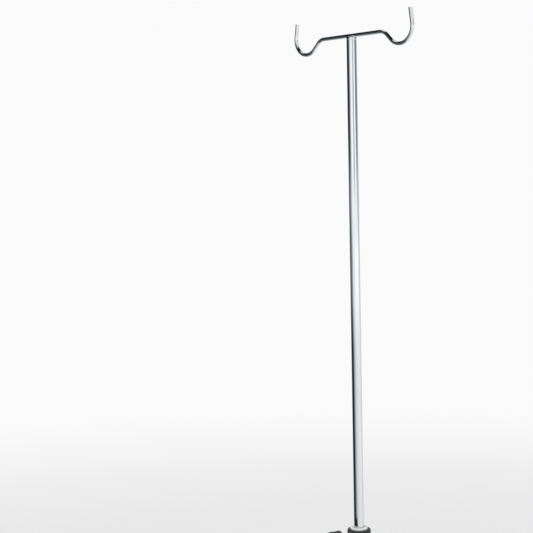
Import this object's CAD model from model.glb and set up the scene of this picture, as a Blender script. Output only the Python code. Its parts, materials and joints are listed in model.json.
"""Looks of a mobile drip stand: chromed telescopic mast, bent-rod twin hook, clamp, star base and castors.

Every length is in metres, in the frame's own axes: +Z up the mast, the hanger along X, the knob towards -Y.
"""

import json
import math

import bmesh
import bpy
import numpy as np
from mathutils import Matrix, Vector

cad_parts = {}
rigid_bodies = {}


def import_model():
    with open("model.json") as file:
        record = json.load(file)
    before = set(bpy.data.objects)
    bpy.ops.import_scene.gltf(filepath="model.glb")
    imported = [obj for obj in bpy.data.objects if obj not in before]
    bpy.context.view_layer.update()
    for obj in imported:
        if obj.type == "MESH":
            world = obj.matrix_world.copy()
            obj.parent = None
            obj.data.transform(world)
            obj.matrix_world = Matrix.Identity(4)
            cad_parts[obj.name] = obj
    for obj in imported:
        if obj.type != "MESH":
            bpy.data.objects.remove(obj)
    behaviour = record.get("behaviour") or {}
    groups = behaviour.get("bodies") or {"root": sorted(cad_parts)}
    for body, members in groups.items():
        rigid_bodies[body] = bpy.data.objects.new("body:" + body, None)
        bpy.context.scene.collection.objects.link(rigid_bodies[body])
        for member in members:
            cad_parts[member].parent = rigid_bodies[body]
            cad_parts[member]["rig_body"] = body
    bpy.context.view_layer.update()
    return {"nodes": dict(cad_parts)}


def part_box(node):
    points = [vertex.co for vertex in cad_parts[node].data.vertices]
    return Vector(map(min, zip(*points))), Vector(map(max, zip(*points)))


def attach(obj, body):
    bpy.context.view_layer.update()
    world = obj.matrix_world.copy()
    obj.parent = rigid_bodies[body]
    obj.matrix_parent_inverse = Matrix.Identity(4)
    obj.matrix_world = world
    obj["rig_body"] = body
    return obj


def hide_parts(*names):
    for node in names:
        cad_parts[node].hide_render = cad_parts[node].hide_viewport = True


bl_info = {
    "name": "Drip Stand",
    "version": (1, 0, 0),
    "blender": (4, 5, 0),
    "location": "3D View > Sidebar > Drip Stand",
    "description": "Builds a mobile drip stand around its packed frame",
    "category": "Object",
}

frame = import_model()

MM = 0.001
FIT = 0.02 * MM  # gap that keeps touching pieces apart
LEGS = range(1, 6)
BRAKED = [i for i in LEGS if f"brake_pedal_{i}" in frame["nodes"]]


# ---------- places and sizes read from the frame ----------

def middle(node):
    """Centre of a node's box."""
    low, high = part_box(node)
    return (low + high) / 2


def size(node):
    """Edge lengths of a node's box."""
    low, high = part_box(node)
    return high - low


def bottom(node):
    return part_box(node)[0].z


def top(node):
    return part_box(node)[1].z


def leg_angle(i):
    """Direction of leg i from the mast, about +Z."""
    stem = middle(f"castor_stem_{i}")
    return math.atan2(stem.y, stem.x)


TUBE_R = size("upper_tube").x / 2
LOWER_R = size("lower_tube").x / 2
CLAMP_Z = middle("clamp_stud").z
CASTOR_R = middle("castor_stem_1").to_2d().length
WHEEL_Z = middle("castor_tyre_1").z
TRAIL = middle("castor_stem_1").y - middle("castor_tyre_1").y
TYRE_R = size("castor_tyre_1").z / 2
TYRE_HALF = size("castor_tyre_1").x / 2
LEG_R = size("leg_1").x / 2
LEG_SLOPE = math.radians(6)
LEG_STEP = 1 / math.cos(LEG_SLOPE)  # length along a leg for each metre outwards
LEG_START_R = 30 * MM
LEG_END_R = 251 * MM
LEG_END_Z = 92 * MM
LEG_SCREW_R = 47 * MM
LEG_SCREW_SEAT = 13.5 * MM
LINER_R = 10.5 * MM
CAP_SEAT = 1.5 * MM  # depth of the knob cap's seat
TYRE_BED_R = 22 * MM
PEDAL_BACK = 23 * MM  # from the axle back to the pedal's pin
PEDAL_PIN_Z = 60 * MM


# ---------- mesh helpers ----------

def new_object(name, verts, faces, sharp_angle=math.radians(35)):
    """A mesh object at the origin, smooth apart from edges sharper than the angle."""
    mesh = bpy.data.meshes.new(name)
    mesh.from_pydata([tuple(v) for v in verts], [], [tuple(f) for f in faces])
    work = bmesh.new()
    work.from_mesh(mesh)
    bmesh.ops.remove_doubles(work, verts=work.verts, dist=1e-7)
    bmesh.ops.recalc_face_normals(work, faces=work.faces)
    work.to_mesh(mesh)
    work.free()
    mesh.shade_smooth()
    mesh.set_sharp_from_angle(angle=sharp_angle)
    made = bpy.data.objects.new(name, mesh)
    bpy.context.scene.collection.objects.link(made)
    return made


def rounded(corners, steps=5):
    """Outline through corners (a, b, radius), each corner with a radius turned into an arc.
    The outline is open: its first and last corners stay as they are."""
    points = [Vector(c[:2]) for c in corners]
    radii = [c[2] if len(c) > 2 else 0 for c in corners]
    out = []
    for k, (p, r) in enumerate(zip(points, radii)):
        if r == 0 or k in (0, len(points) - 1):
            out.append(p)
            continue
        before, after = (points[k - 1] - p).normalized(), (points[k + 1] - p).normalized()
        half = before.angle(after) / 2
        centre = p + (before + after).normalized() * (r / math.sin(half))
        start, end = p + before * (r / math.tan(half)), p + after * (r / math.tan(half))
        a = math.atan2(start.y - centre.y, start.x - centre.x)
        turn = (math.atan2(end.y - centre.y, end.x - centre.x) - a + math.pi) % math.tau - math.pi
        for s in range(steps + 1):
            t = a + turn * s / steps
            out.append(centre + Vector((math.cos(t), math.sin(t))) * r)
    return out


def turned(name, profile, place=Matrix(), steps=64, closed=False):
    """A solid turned about Z from a profile of (radius, height) points. The place matrix moves it."""
    verts, rings = [], []
    for p in profile:
        if p[0] < 1e-9:
            rings.append([len(verts)] * steps)
            verts.append(Vector((0, 0, p[1])))
            continue
        rings.append(list(range(len(verts), len(verts) + steps)))
        for s in range(steps):
            t = math.tau * s / steps
            verts.append(Vector((p[0] * math.cos(t), p[0] * math.sin(t), p[1])))
    if closed:
        rings.append(rings[0])
    faces = []
    for lower, upper in zip(rings, rings[1:]):
        for s in range(steps):
            e = (s + 1) % steps
            face = list(dict.fromkeys((lower[s], lower[e], upper[e], upper[s])))
            if len(face) > 2:
                faces.append(face)
    return new_object(name, [place @ v for v in verts], faces)


def pipe_profile(r_out, r_in, low, high, lip):
    """Closed profile of a tube with rounded ends."""
    ring = [(r_in, (low + high) / 2), (r_in, high, lip), (r_out, high, lip), (r_out, low, lip),
            (r_in, low, lip), (r_in, (low + high) / 2 - lip)]
    return rounded(ring)


def net(name, field, low, high, cell, place=Matrix()):
    """A closed mesh where field(x, y, z) is zero, negative inside, between two corners.
    The vertices are pulled onto the surface, so a coarse cell still gives a smooth round."""
    counts = [int(math.ceil((h - l) / cell)) + 2 for l, h in zip(low, high)]
    axes = [low[k] - cell / 2 + cell * np.arange(counts[k]) for k in range(3)]
    grid = np.stack(np.meshgrid(*axes, indexing="ij"))
    d = field(*grid)
    shifts = [(a, b, c) for a in (0, 1) for b in (0, 1) for c in (0, 1)]
    shape = [n - 1 for n in counts]

    def corner(s):
        return d[s[0]:s[0] + shape[0], s[1]:s[1] + shape[1], s[2]:s[2] + shape[2]]

    inside = sum((corner(s) < 0).astype(int) for s in shifts)
    active = (inside > 0) & (inside < 8)
    index = -np.ones(shape, int)
    index[active] = np.arange(active.sum())
    cells = np.argwhere(active)
    total, hits = np.zeros((len(cells), 3)), np.zeros(len(cells))
    for s in shifts:
        for axis in range(3):
            if s[axis]:
                continue
            e = tuple(1 if k == axis else s[k] for k in range(3))
            a, b = corner(s)[active], corner(e)[active]
            cut = (a < 0) != (b < 0)
            t = np.where(cut, a / np.where(cut, a - b, 1), 0)
            point = np.array(s, float) + t[:, None] * (np.array(e) - np.array(s))
            total[cut] += point[cut]
            hits[cut] += 1
    verts = (cells + total / hits[:, None]) * cell + np.array([a[0] for a in axes])
    step = cell * 0.05
    for _ in range(3):
        at = field(*verts.T)
        slope = np.stack([field(*(verts + step * np.eye(3)[k]).T) - field(*(verts - step * np.eye(3)[k]).T)
                          for k in range(3)], axis=1) / (2 * step)
        move = -at[:, None] * slope / np.maximum((slope ** 2).sum(1), 0.05)[:, None]
        length = np.linalg.norm(move, axis=1)[:, None]
        verts = verts + move * np.minimum(1, 0.3 * cell / np.maximum(length, 1e-12))
    faces = []
    for axis in range(3):
        u, v = (axis + 1) % 3, (axis + 2) % 3
        first = [slice(None)] * 3
        second = [slice(None)] * 3
        first[axis], second[axis] = slice(0, -1), slice(1, None)
        a, b = d[tuple(first)] < 0, d[tuple(second)] < 0
        for where, flip in ((a & ~b, False), (~a & b, True)):
            at = np.argwhere(where)
            at = at[(at[:, u] > 0) & (at[:, v] > 0) & (at[:, u] < shape[u]) & (at[:, v] < shape[v])]
            quad = []
            for du, dv in ((1, 1), (0, 1), (0, 0), (1, 0)):
                c = at.copy()
                c[:, u] -= du
                c[:, v] -= dv
                quad.append(index[c[:, 0], c[:, 1], c[:, 2]])
            quad = np.stack(quad[::-1] if flip else quad, axis=1)
            faces.append(quad[(quad >= 0).all(1)])
    faces = np.concatenate(faces)
    moved = verts @ np.array(place.to_3x3()).T + np.array(place.translation)
    return new_object(name, moved, faces.tolist(), math.radians(50))


def around(low, high, margin=1 * MM):
    """Two corners, moved outwards by a margin on every side."""
    gap = Vector((margin, margin, margin))
    return low - gap, high + gap


def copy_moved(source, name, place):
    """The same mesh again in another place."""
    made = source.copy()
    made.data = source.data.copy()
    made.name = made.data.name = name
    made.data.transform(place)
    bpy.context.scene.collection.objects.link(made)
    return made


def settle(piece, node, material):
    """Makes a finished piece stand for a CAD node on that node's body, in that node's slot and finish."""
    piece.data.materials.clear()
    piece.data.materials.append(material)
    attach(piece, frame["nodes"][node]["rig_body"])
    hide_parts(node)
    return piece


# ---------- distance fields ----------

def smooth_min(a, b, k):
    h = np.maximum(k - np.abs(a - b), 0) / k
    return np.minimum(a, b) - h * h * k / 4


def smooth_max(a, b, k):
    return -smooth_min(-a, -b, k)


def slab(d, s, low, high, r):
    """A flat shape with distance d, made solid between low and high along s, its edges rounded by r."""
    q = np.abs(s - (low + high) / 2) - (high - low) / 2 + r
    p = d + r
    return np.minimum(np.maximum(p, q), 0) + np.hypot(np.maximum(p, 0), np.maximum(q, 0)) - r


def disc(x, y, r):
    return np.hypot(x, y) - r


def bar(x, y, a, b, r):
    """Flat distance to a stadium from point a to point b."""
    px, py = x - a[0], y - a[1]
    dx, dy = b[0] - a[0], b[1] - a[1]
    t = np.clip((px * dx + py * dy) / (dx * dx + dy * dy), 0, 1)
    return np.hypot(px - t * dx, py - t * dy) - r


def polygon(x, y, points):
    """Flat signed distance to a polygon."""
    d = np.full(np.shape(x), 1e9)
    sign = np.ones(np.shape(x))
    for (ax, ay), (bx, by) in zip(points, points[-1:] + points[:-1]):
        ex, ey = bx - ax, by - ay
        wx, wy = x - ax, y - ay
        t = np.clip((wx * ex + wy * ey) / (ex * ex + ey * ey), 0, 1)
        d = np.minimum(d, (wx - ex * t) ** 2 + (wy - ey * t) ** 2)
        above, under, left = y >= ay, y < by, ex * wy > ey * wx
        crossing = (above & under & left) | (~above & ~under & ~left)
        sign = np.where(crossing, -sign, sign)
    return sign * np.sqrt(d)


def plate(x, y, low, high, r):
    """Flat distance to a rectangle between two corners, its own corners rounded by r."""
    px = np.abs(x - (low[0] + high[0]) / 2) - (high[0] - low[0]) / 2 + r
    py = np.abs(y - (low[1] + high[1]) / 2) - (high[1] - low[1]) / 2 + r
    return np.minimum(np.maximum(px, py), 0) + np.hypot(np.maximum(px, 0), np.maximum(py, 0)) - r


def hexagon(x, y, flat):
    """Flat distance to a hexagon, flat to flat."""
    return np.max([np.abs(x * math.cos(a) + y * math.sin(a)) for a in (0, math.pi / 3, 2 * math.pi / 3)],
                  axis=0) - flat / 2


# ---------- Geometry Nodes ----------

def add_node(tree, kind, **values):
    """A node with its properties or its inputs set by name."""
    made = tree.nodes.new(kind)
    for name, value in values.items():
        label = name.replace("_", " ")
        socket = next((s for s in made.inputs if s.enabled and s.name.lower() == label.lower()), None)
        if hasattr(made, name):
            setattr(made, name, value)
        elif isinstance(value, bpy.types.NodeSocket):
            tree.links.new(value, socket)
        else:
            socket.default_value = value
    return made


def put(tree, socket, value):
    """Links a socket to an input, or sets the input to a plain value."""
    if isinstance(value, bpy.types.NodeSocket):
        tree.links.new(value, socket)
    else:
        socket.default_value = (*value, 1) if socket.type == "RGBA" else value


def compute(tree, operation, *values, **settings):
    """The result of a Math node, its inputs given in order as sockets or numbers."""
    made = add_node(tree, "ShaderNodeMath", operation=operation, **settings)
    for socket, value in zip(made.inputs, values):
        put(tree, socket, value)
    return made.outputs[0]


def made_once(name):
    """Marks a function that builds the node group of this name, and runs it only when there is none yet."""
    def wrap(build):
        return lambda: bpy.data.node_groups.get(name) or build(name)
    return wrap


def new_tree(name, kind, inputs, outputs):
    """A node group with named sockets, as (tree, its input node, its output node)."""
    tree = bpy.data.node_groups.new(name, kind)
    for label, socket, default in inputs:
        item = tree.interface.new_socket(name=label, in_out="INPUT", socket_type=socket)
        if default is not None:
            item.default_value = default
    for label, socket in outputs:
        tree.interface.new_socket(name=label, in_out="OUTPUT", socket_type=socket)
    return tree, tree.nodes.new("NodeGroupInput"), tree.nodes.new("NodeGroupOutput")


def end_tree(tree, start, end, geometry):
    """Ends a tree in one plain mesh with the material that it is given."""
    real = add_node(tree, "GeometryNodeRealizeInstances", Geometry=geometry)
    finish = add_node(tree, "GeometryNodeSetMaterial", Geometry=real.outputs[0],
                      Material=start.outputs["Material"])
    tree.links.new(finish.outputs[0], end.inputs[0])
    return tree


@made_once("round_sweep")
def sweep_tree(name):
    """Sweeps a round section along a curve, with an even ripple in its radius for a weld bead."""
    tree, start, end = new_tree(
        name, "GeometryNodeTree",
        [("Curve", "NodeSocketGeometry", None), ("Radius", "NodeSocketFloat", 0.003),
         ("Sides", "NodeSocketInt", 32), ("Ripples", "NodeSocketFloat", 0.0),
         ("Ripple Depth", "NodeSocketFloat", 0.0), ("Material", "NodeSocketMaterial", None)],
        [("Mesh", "NodeSocketGeometry")])
    along = add_node(tree, "GeometryNodeSplineParameter")
    saw = compute(tree, "FRACT", compute(tree, "MULTIPLY", along.outputs["Factor"], start.outputs["Ripples"]))
    depth = compute(tree, "MULTIPLY", saw, start.outputs["Ripple Depth"])
    own = add_node(tree, "GeometryNodeInputRadius")
    radius = add_node(tree, "GeometryNodeSetCurveRadius", Curve=start.outputs["Curve"],
                      Radius=compute(tree, "SUBTRACT", own.outputs[0], depth))
    section = add_node(tree, "GeometryNodeCurvePrimitiveCircle")
    tree.links.new(start.outputs["Sides"], section.inputs["Resolution"])
    tree.links.new(start.outputs["Radius"], section.inputs["Radius"])
    swept = add_node(tree, "GeometryNodeCurveToMesh", Curve=radius.outputs[0],
                     Profile_Curve=section.outputs[0], Fill_Caps=True)
    return end_tree(tree, start, end, swept.outputs[0])


@made_once("repeat_about_axis")
def repeat_tree(name):
    """Joins a body with copies of a pattern object, spaced evenly about the Z axis."""
    tree, start, end = new_tree(
        name, "GeometryNodeTree",
        [("Body", "NodeSocketGeometry", None), ("Pattern", "NodeSocketObject", None),
         ("Count", "NodeSocketInt", 5), ("First Angle", "NodeSocketFloat", 0.0),
         ("Material", "NodeSocketMaterial", None)],
        [("Mesh", "NodeSocketGeometry")])
    points = add_node(tree, "GeometryNodePoints")
    tree.links.new(start.outputs["Count"], points.inputs["Count"])
    share = compute(tree, "DIVIDE", math.tau, start.outputs["Count"])
    place = add_node(tree, "GeometryNodeInputIndex")
    angle = compute(tree, "MULTIPLY_ADD", place.outputs[0], share, start.outputs["First Angle"])
    turn = add_node(tree, "ShaderNodeCombineXYZ", Z=angle)
    shape = add_node(tree, "GeometryNodeObjectInfo")
    tree.links.new(start.outputs["Pattern"], shape.inputs["Object"])
    copies = add_node(tree, "GeometryNodeInstanceOnPoints", Points=points.outputs[0],
                      Instance=shape.outputs["Geometry"])
    tree.links.new(turn.outputs[0], copies.inputs["Rotation"])
    both = add_node(tree, "GeometryNodeJoinGeometry")
    tree.links.new(start.outputs["Body"], both.inputs[0])
    tree.links.new(copies.outputs[0], both.inputs[0])
    return end_tree(tree, start, end, both.outputs[0])


def run_nodes(source, name, tree, sharp_angle=math.radians(35), place=Matrix(), **inputs):
    """Puts the tree on the source object, sets its inputs and returns the result as a plain mesh object."""
    modifier = source.modifiers.new("nodes", "NODES")
    modifier.node_group = tree
    sockets = {item.name: item.identifier for item in tree.interface.items_tree if item.item_type == "SOCKET"}
    for label, value in inputs.items():
        modifier[sockets[label.replace("_", " ")]] = value
    bpy.context.view_layer.update()
    seen = source.evaluated_get(bpy.context.evaluated_depsgraph_get())
    mesh = bpy.data.meshes.new_from_object(seen)
    source.modifiers.remove(modifier)
    bpy.data.objects.remove(source)
    mesh.transform(place)
    mesh.name = name
    mesh.shade_smooth()
    mesh.set_sharp_from_angle(angle=sharp_angle)
    made = bpy.data.objects.new(name, mesh)
    bpy.context.scene.collection.objects.link(made)
    return made


def path_object(name, points, radii=None):
    """A curve of straight segments through the points, each with its share of the section's radius."""
    data = bpy.data.curves.new(name, "CURVE")
    data.dimensions = "3D"
    spline = data.splines.new("POLY")
    spline.points.add(len(points) - 1)
    for k, p in enumerate(points):
        spline.points[k].co = (*p, 1)
        spline.points[k].radius = radii[k] if radii else 1
    made = bpy.data.objects.new(name, data)
    bpy.context.scene.collection.objects.link(made)
    return made


# ---------- finishes ----------

@made_once("soft_variation")
def variation_group(name):
    """Soft noise between two values."""
    tree, start, end = new_tree(
        name, "ShaderNodeTree",
        [("Vector", "NodeSocketVector", None), ("Scale", "NodeSocketFloat", 40.0),
         ("Detail", "NodeSocketFloat", 3.0), ("Low", "NodeSocketFloat", 0.0),
         ("High", "NodeSocketFloat", 1.0)],
        [("Value", "NodeSocketFloat")])
    noise = add_node(tree, "ShaderNodeTexNoise", Roughness=0.55)
    for label in ("Vector", "Scale", "Detail"):
        tree.links.new(start.outputs[label], noise.inputs[label])
    spread = add_node(tree, "ShaderNodeMapRange", interpolation_type="SMOOTHSTEP")
    tree.links.new(noise.outputs["Fac"], spread.inputs["Value"])
    spread.inputs["From Min"].default_value = 0.32
    spread.inputs["From Max"].default_value = 0.68
    tree.links.new(start.outputs["Low"], spread.inputs["To Min"])
    tree.links.new(start.outputs["High"], spread.inputs["To Max"])
    tree.links.new(spread.outputs["Result"], end.inputs[0])
    return tree


@made_once("scuffs")
def scuff_group(name):
    """Thin scattered scratches and rubbed spots, as a mask."""
    tree, start, end = new_tree(
        name, "ShaderNodeTree",
        [("Vector", "NodeSocketVector", None), ("Scale", "NodeSocketFloat", 60.0),
         ("Amount", "NodeSocketFloat", 0.3)],
        [("Mask", "NodeSocketFloat")])
    streaks = add_node(tree, "ShaderNodeMapping")
    streaks.inputs["Scale"].default_value = (1.0, 1.0, 9.0)
    streaks.inputs["Rotation"].default_value = (0.5, 0.7, 0.2)
    tree.links.new(start.outputs["Vector"], streaks.inputs["Vector"])
    lines = add_node(tree, "ShaderNodeTexNoise", Detail=6.0, Roughness=0.7, Distortion=0.6)
    tree.links.new(streaks.outputs[0], lines.inputs["Vector"])
    tree.links.new(start.outputs["Scale"], lines.inputs["Scale"])
    spots = add_node(tree, "ShaderNodeTexNoise", Detail=2.0)
    tree.links.new(start.outputs["Vector"], spots.inputs["Vector"])
    tree.links.new(start.outputs["Scale"], spots.inputs["Scale"])
    cut = add_node(tree, "ShaderNodeMapRange")
    tree.links.new(lines.outputs["Fac"], cut.inputs["Value"])
    cut.inputs["From Min"].default_value = 0.60
    cut.inputs["From Max"].default_value = 0.72
    both = compute(tree, "MULTIPLY", cut.outputs["Result"], spots.outputs["Fac"])
    tree.links.new(compute(tree, "MULTIPLY", both, start.outputs["Amount"]), end.inputs[0])
    return tree


@made_once("settled_dust")
def dust_group(name):
    """Where dust settles: on what faces up, in soft patches."""
    tree, start, end = new_tree(
        name, "ShaderNodeTree",
        [("Vector", "NodeSocketVector", None), ("Normal", "NodeSocketVector", None),
         ("Amount", "NodeSocketFloat", 0.2)],
        [("Mask", "NodeSocketFloat")])
    parts = add_node(tree, "ShaderNodeSeparateXYZ")
    tree.links.new(start.outputs["Normal"], parts.inputs[0])
    facing = add_node(tree, "ShaderNodeMapRange", interpolation_type="SMOOTHSTEP")
    tree.links.new(parts.outputs["Z"], facing.inputs["Value"])
    facing.inputs["From Min"].default_value = 0.35
    patches = add_node(tree, "ShaderNodeTexNoise", Scale=55.0, Detail=5.0)
    tree.links.new(start.outputs["Vector"], patches.inputs["Vector"])
    both = compute(tree, "MULTIPLY", facing.outputs["Result"], patches.outputs["Fac"])
    tree.links.new(compute(tree, "MULTIPLY", both, start.outputs["Amount"]), end.inputs[0])
    return tree


def blend_colours(tree, factor, a, b):
    """Colour a where the factor is 0, and b where it is 1."""
    made = add_node(tree, "ShaderNodeMix", data_type="RGBA")
    factor_in, a_in, b_in = made.inputs[0], made.inputs[6], made.inputs[7]
    for socket, value in ((factor_in, factor), (a_in, a), (b_in, b)):
        put(tree, socket, value)
    return made.outputs[2]


def ramp_between(tree, value, low, high):
    """0 below low and 1 above high, smoothly."""
    made = add_node(tree, "ShaderNodeMapRange", interpolation_type="SMOOTHSTEP")
    tree.links.new(value, made.inputs["Value"])
    made.inputs["From Min"].default_value = low
    made.inputs["From Max"].default_value = high
    return made.outputs["Result"]


class Finish:
    """A material under construction, with the coordinates and groups that its shader's sockets draw on."""

    def __init__(self, name, stretch=(1, 1, 1)):
        self.material = bpy.data.materials.new(name)
        self.material.use_nodes = True
        self.tree = self.material.node_tree
        self.shader = next(n for n in self.tree.nodes if n.type == "BSDF_PRINCIPLED")
        self.place = add_node(self.tree, "ShaderNodeTexCoord")
        mapping = add_node(self.tree, "ShaderNodeMapping")
        mapping.inputs["Scale"].default_value = stretch
        self.tree.links.new(self.place.outputs["Object"], mapping.inputs["Vector"])
        self.vector = mapping.outputs[0]

    def group(self, tree, **values):
        made = add_node(self.tree, "ShaderNodeGroup", node_tree=tree)
        self.tree.links.new(self.vector, made.inputs["Vector"])
        for name, value in values.items():
            made.inputs[name].default_value = value
        if "Normal" in made.inputs:
            self.tree.links.new(self.place.outputs["Normal"], made.inputs["Normal"])
        return made.outputs[0]

    def colours(self, first, second, factor, third=None, third_factor=None):
        """Base colour: first to second by a factor, and then to a third by another."""
        colour = self.mix(first, second, factor)
        if third is not None:
            colour = self.mix(colour, third, third_factor)
        self.tree.links.new(colour, self.shader.inputs["Base Color"])

    def mix(self, a, b, factor):
        return blend_colours(self.tree, factor, a, b)

    def add(self, a, b):
        return compute(self.tree, "ADD", a, b, use_clamp=True)

    def roughness(self, value):
        self.tree.links.new(value, self.shader.inputs["Roughness"])

    def bump(self, *layers):
        """Stacked bumps, each (height, depth in metres, strength)."""
        normal = None
        for height, depth, strength in layers:
            made = add_node(self.tree, "ShaderNodeBump", Distance=depth, Strength=strength)
            self.tree.links.new(height, made.inputs["Height"])
            if normal is not None:
                self.tree.links.new(normal, made.inputs["Normal"])
            normal = made.outputs[0]
        self.tree.links.new(normal, self.shader.inputs["Normal"])


def chrome(name, colours, stretch=(1, 1, 1)):
    """Bright chrome plate: soft clouding, faint handling marks and the ripple of the tube beneath."""
    f = Finish(name, stretch)
    f.shader.inputs["Metallic"].default_value = 1
    clouds = f.group(variation_group(), Scale=34.0, Detail=4.0)
    marks = f.group(scuff_group(), Scale=90.0, Amount=0.10)
    f.colours(colours.chrome, tuple(0.90 * c for c in colours.chrome), clouds)
    f.roughness(f.add(f.group(variation_group(), Scale=70.0, Low=0.035, High=0.085), marks))
    ripple = f.group(variation_group(), Scale=26.0, Detail=2.0)
    f.bump((ripple, 0.00006, 0.25))
    return f.material


def zinc(name, colours):
    """Zinc-plated steel: satin, with the plating's cloudy spangle."""
    f = Finish(name)
    f.shader.inputs["Metallic"].default_value = 1
    spangle = f.group(variation_group(), Scale=420.0, Detail=2.0)
    dust = f.group(dust_group(), Amount=0.25)
    f.colours(colours.zinc, tuple(c * k for c, k in zip(colours.zinc, (0.84, 0.86, 0.90))), spangle,
              (0.40, 0.39, 0.37), dust)
    f.roughness(f.add(f.group(variation_group(), Scale=160.0, Low=0.24, High=0.38), dust))
    f.bump((f.group(variation_group(), Scale=900.0, Detail=3.0), 0.00004, 0.3))
    return f.material


def cast_metal(name, colours):
    """Die-cast aluminium: blasted skin with rubbed high spots."""
    f = Finish(name)
    f.shader.inputs["Metallic"].default_value = 1
    clouds = f.group(variation_group(), Scale=60.0, Detail=5.0)
    marks = f.group(scuff_group(), Scale=45.0, Amount=0.35)
    dust = f.group(dust_group(), Amount=0.30)
    f.colours(colours.cast, tuple(0.82 * c for c in colours.cast), clouds, (0.50, 0.49, 0.47), dust)
    f.roughness(f.add(f.group(variation_group(), Scale=240.0, Low=0.34, High=0.48), dust))
    f.bump((f.group(variation_group(), Scale=1500.0, Detail=3.0), 0.00012, 0.35), (marks, 0.00005, 0.3))
    return f.material


def moulded(name, colour, worn, gloss, grain, specular=0.5):
    """Moulded plastic: fine spark-eroded grain, rubbed patches and a little dust."""
    f = Finish(name)
    f.shader.inputs["Specular IOR Level"].default_value = specular
    rubbed = f.group(scuff_group(), Scale=55.0, Amount=0.55)
    dust = f.group(dust_group(), Amount=0.22)
    f.colours(colour, worn, rubbed, (0.42, 0.41, 0.39), dust)
    f.roughness(f.add(f.group(variation_group(), Scale=120.0, Low=gloss, High=gloss + 0.14), dust))
    f.bump((f.group(variation_group(), Scale=grain, Detail=4.0), 0.00008, 0.35))
    return f.material


def tyre_rubber(name, colours):
    """Grey thermoplastic rubber, scuffed paler where it rolls."""
    f = Finish(name)
    f.shader.inputs["Specular IOR Level"].default_value = 0.35
    scuffs = f.group(scuff_group(), Scale=120.0, Amount=0.8)
    patches = f.group(variation_group(), Scale=80.0, Detail=5.0)
    f.colours(colours.tyre, tuple(1.5 * c for c in colours.tyre), patches, (0.34, 0.33, 0.31), scuffs)
    f.roughness(f.group(variation_group(), Scale=150.0, Low=0.62, High=0.82))
    f.bump((f.group(variation_group(), Scale=1100.0, Detail=4.0), 0.00010, 0.4))
    return f.material


def brass(name):
    f = Finish(name)
    f.shader.inputs["Metallic"].default_value = 1
    f.colours((0.72, 0.53, 0.25), (0.55, 0.38, 0.16), f.group(variation_group(), Scale=300.0))
    f.roughness(f.group(variation_group(), Scale=500.0, Low=0.22, High=0.36))
    f.bump((f.group(variation_group(), Scale=1800.0), 0.00003, 0.3))
    return f.material


def weld_metal(name, colours):
    """Plated weld: chrome over a rippled bead, a little duller and warmer in its folds."""
    f = Finish(name)
    f.shader.inputs["Metallic"].default_value = 1
    f.colours(tuple(0.92 * c for c in colours.chrome), (0.58, 0.55, 0.53),
              f.group(variation_group(), Scale=480.0))
    f.roughness(f.group(variation_group(), Scale=700.0, Low=0.10, High=0.26))
    f.bump((f.group(variation_group(), Scale=900.0), 0.00008, 0.5))
    return f.material


def get_finish(name):
    """The named material, made the first time that it is asked for."""
    if name in bpy.data.materials:
        return bpy.data.materials[name]
    colours = bpy.context.scene.drip_colours
    makers = {
        "chrome_tube": lambda: chrome(name, colours, (1, 1, 0.22)),
        "chrome_rod": lambda: chrome(name, colours, (0.45, 1, 1)),
        "weld": lambda: weld_metal(name, colours),
        "zinc": lambda: zinc(name, colours),
        "cast_metal": lambda: cast_metal(name, colours),
        "black_moulding": lambda: moulded(name, tuple(colours.moulding), (0.060, 0.060, 0.063), 0.36, 1400.0,
                                          0.35),
        "white_bush": lambda: moulded(name, (0.78, 0.78, 0.74), (0.66, 0.65, 0.61), 0.32, 900.0),
        "brass": lambda: brass(name),
        "grey_cap": lambda: moulded(name, (0.22, 0.23, 0.24), (0.33, 0.34, 0.35), 0.22, 1600.0),
        "wheel_moulding": lambda: moulded(name, tuple(colours.wheel), (0.60, 0.60, 0.59), 0.30, 1000.0),
        "tyre_rubber": lambda: tyre_rubber(name, colours),
        "pedal_moulding": lambda: moulded(name, tuple(colours.pedal), (0.62, 0.20, 0.17), 0.26, 1200.0),
    }
    return makers[name]()


# ---------- settings ----------

class HangerSettings(bpy.types.PropertyGroup):
    """Shape of the bent rod, measured on its centreline."""
    rod: bpy.props.FloatProperty(
        name="Rod", description="Diameter of the rod", default=6 * MM, unit="LENGTH")
    straight: bpy.props.FloatProperty(
        name="Straight", description="Straight rod on each side of the mast", default=64 * MM, unit="LENGTH")
    shoulder: bpy.props.FloatProperty(
        name="Shoulder", description="Radius of the bend down to the hook", default=19 * MM, unit="LENGTH")
    drop: bpy.props.FloatProperty(
        name="Drop", description="Slope of the rod down to the hook", default=math.radians(43),
        subtype="ANGLE")
    slope: bpy.props.FloatProperty(
        name="Slope", description="Length of the sloping rod", default=14 * MM, unit="LENGTH")
    hook: bpy.props.FloatProperty(
        name="Hook", description="Radius of the hook", default=26 * MM, unit="LENGTH")
    lean: bpy.props.FloatProperty(
        name="Lean", description="Inward lean of the hook's upright", default=math.radians(9),
        subtype="ANGLE")
    upright: bpy.props.FloatProperty(
        name="Upright", description="Length of the hook's upright", default=22 * MM, unit="LENGTH")
    dome: bpy.props.FloatProperty(
        name="Dome", description="Length of the rod's rounded end", default=2 * MM, unit="LENGTH")
    weld: bpy.props.FloatProperty(
        name="Weld", description="Radius of the weld bead", default=1.5 * MM, unit="LENGTH")


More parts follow.
